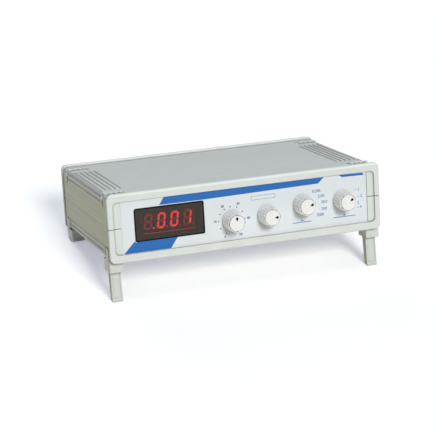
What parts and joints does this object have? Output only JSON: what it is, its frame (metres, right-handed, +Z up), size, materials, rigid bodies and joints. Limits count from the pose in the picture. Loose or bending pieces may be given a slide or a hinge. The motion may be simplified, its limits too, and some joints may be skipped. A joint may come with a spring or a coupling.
{
  "type": "benchtop conductivity meter",
  "caption": "Benchtop conductivity meter: low split instrument case on fold-out tilt legs, with an LED display window, rotary controls and rear mains and probe connections.",
  "frame": {"origin": "centre of the bounding box's footprint, on the table under the tilt legs and rear feet", "axes": "+X to the right as seen from the front, +Y from the front panel to the rear, +Z up; the case leans back 11 degrees on its unfolded legs"},
  "size_m": [0.258, 0.1892, 0.0982],
  "materials": {
    "case_plastic": "moulded ABS, fine spark texture",
    "foot_plastic": "moulded ABS, smooth",
    "panel_aluminium": "satin",
    "overlay_film": "printed polyester film, satin",
    "display_lens": "dark tinted acrylic",
    "black_plastic": "moulded, fine texture",
    "module_face": "dark red epoxy face",
    "led_lit": "lit diffuser",
    "led_dark": "unlit diffuser",
    "circuit_board": "glass-epoxy laminate",
    "knob_plastic": "moulded, satin",
    "cap_plastic": "moulded, satin",
    "plated_steel": "zinc plated",
    "nickel": "nickel plated brass",
    "brass": "turned, satin",
    "core_steel": "varnished laminations",
    "coil_tape": "polyester tape over winding",
    "capacitor_sleeve": "shrink sleeve",
    "phenolic": "moulded phenolic",
    "white_insulator": "turned fluoropolymer",
    "fuse_glass": "clear tube with plated ends",
    "grey_cable": "flat ribbon"
  },
  "bodies": {
    "case": {"top_cover": "case_plastic", "base_shell": "case_plastic", "front_panel": "panel_aluminium", "front_overlay": "overlay_film", "rear_panel": "panel_aluminium", "display_filter": "display_lens", "display_shroud": "black_plastic", "digit_modules": "module_face", "lit_segments": "led_lit", "dark_segments": "led_dark", "display_board": "circuit_board", "display_standoffs": "nickel", "control_nuts": "nickel", "control_washers": "plated_steel", "pot_terminals": "plated_steel", "switch_terminals": "plated_steel", "main_board": "circuit_board", "board_chips": "black_plastic", "board_capacitors": "capacitor_sleeve", "voltage_regulators": "black_plastic", "board_headers": "white_insulator", "ribbon_cable": "grey_cable", "internal_screws": "plated_steel", "transformer_core": "core_steel", "transformer_coil": "coil_tape", "mains_inlet": "black_plastic", "inlet_pins": "brass", "switch_housing": "black_plastic", "fuse_holder": "black_plastic", "glass_fuse": "fuse_glass", "cell_socket": "nickel", "socket_insulator": "white_insulator", "socket_contact": "brass", "rear_nuts": "nickel", "front_foot_left": "foot_plastic", "front_foot_right": "foot_plastic", "rear_foot_left": "foot_plastic", "rear_foot_right": "foot_plastic", "hinge_pins": "plated_steel", "case_screws": "plated_steel", "temperature_pot": "phenolic", "cell_pot": "phenolic", "range_switch": "phenolic", "function_switch": "phenolic"},
    "left_tilt_leg": {"tilt_leg_left": "foot_plastic"},
    "right_tilt_leg": {"tilt_leg_right": "foot_plastic"},
    "power_rocker": {"power_rocker": "black_plastic"},
    "fuse_cap": {"fuse_cap": "black_plastic"},
    "temperature_control": {"temperature_shaft": "brass", "temperature_knob": "knob_plastic", "temperature_knob_cap": "cap_plastic"},
    "cell_control": {"cell_shaft": "brass", "cell_knob": "knob_plastic", "cell_knob_cap": "cap_plastic"},
    "range_control": {"range_shaft": "brass", "range_knob": "knob_plastic", "range_knob_cap": "cap_plastic"},
    "function_control": {"function_shaft": "brass", "function_knob": "knob_plastic", "function_knob_cap": "cap_plastic"}
  },
  "joints": [
    {"name": "left_leg_fold", "type": "hinge", "parent": "case", "child": "left_tilt_leg", "pos_m": [-0.1226, -0.07126, 0.02992], "axis": [1, 0, 0], "range_deg": [0, 94]},
    {"name": "right_leg_fold", "type": "hinge", "parent": "case", "child": "right_tilt_leg", "pos_m": [0.1226, -0.07126, 0.02992], "axis": [1, 0, 0], "range_deg": [0, 94]},
    {"name": "temperature_turn", "type": "hinge", "parent": "case", "child": "temperature_control", "pos_m": [-0.01471, -0.0924, 0.06479], "axis": [0, -0.9816, 0.1908], "range_deg": [-150, 150]},
    {"name": "cell_turn", "type": "hinge", "parent": "case", "child": "cell_control", "pos_m": [0.01891, -0.09222, 0.06568], "axis": [0, -0.9816, 0.1908], "range_deg": [-60, 240]},
    {"name": "range_turn", "type": "hinge", "parent": "case", "child": "range_control", "pos_m": [0.0533, -0.09117, 0.07108], "axis": [0, -0.9816, 0.1908], "range_deg": [-90, 30]},
    {"name": "function_turn", "type": "hinge", "parent": "case", "child": "function_control", "pos_m": [0.09251, -0.09133, 0.07029], "axis": [0, -0.9816, 0.1908], "range_deg": [-90, 0]},
    {"name": "power_rock", "type": "hinge", "parent": "case", "child": "power_rocker", "pos_m": [-0.032, 0.07859, 0.03726], "axis": [1, 0, 0], "range_deg": [-20, 0]},
    {"name": "fuse_cap_turn", "type": "hinge", "parent": "case", "child": "fuse_cap", "pos_m": [-0.058, 0.08198, 0.0366], "axis": [0, 0.9816, -0.1908], "range_deg": [0, 60]}
  ]
}
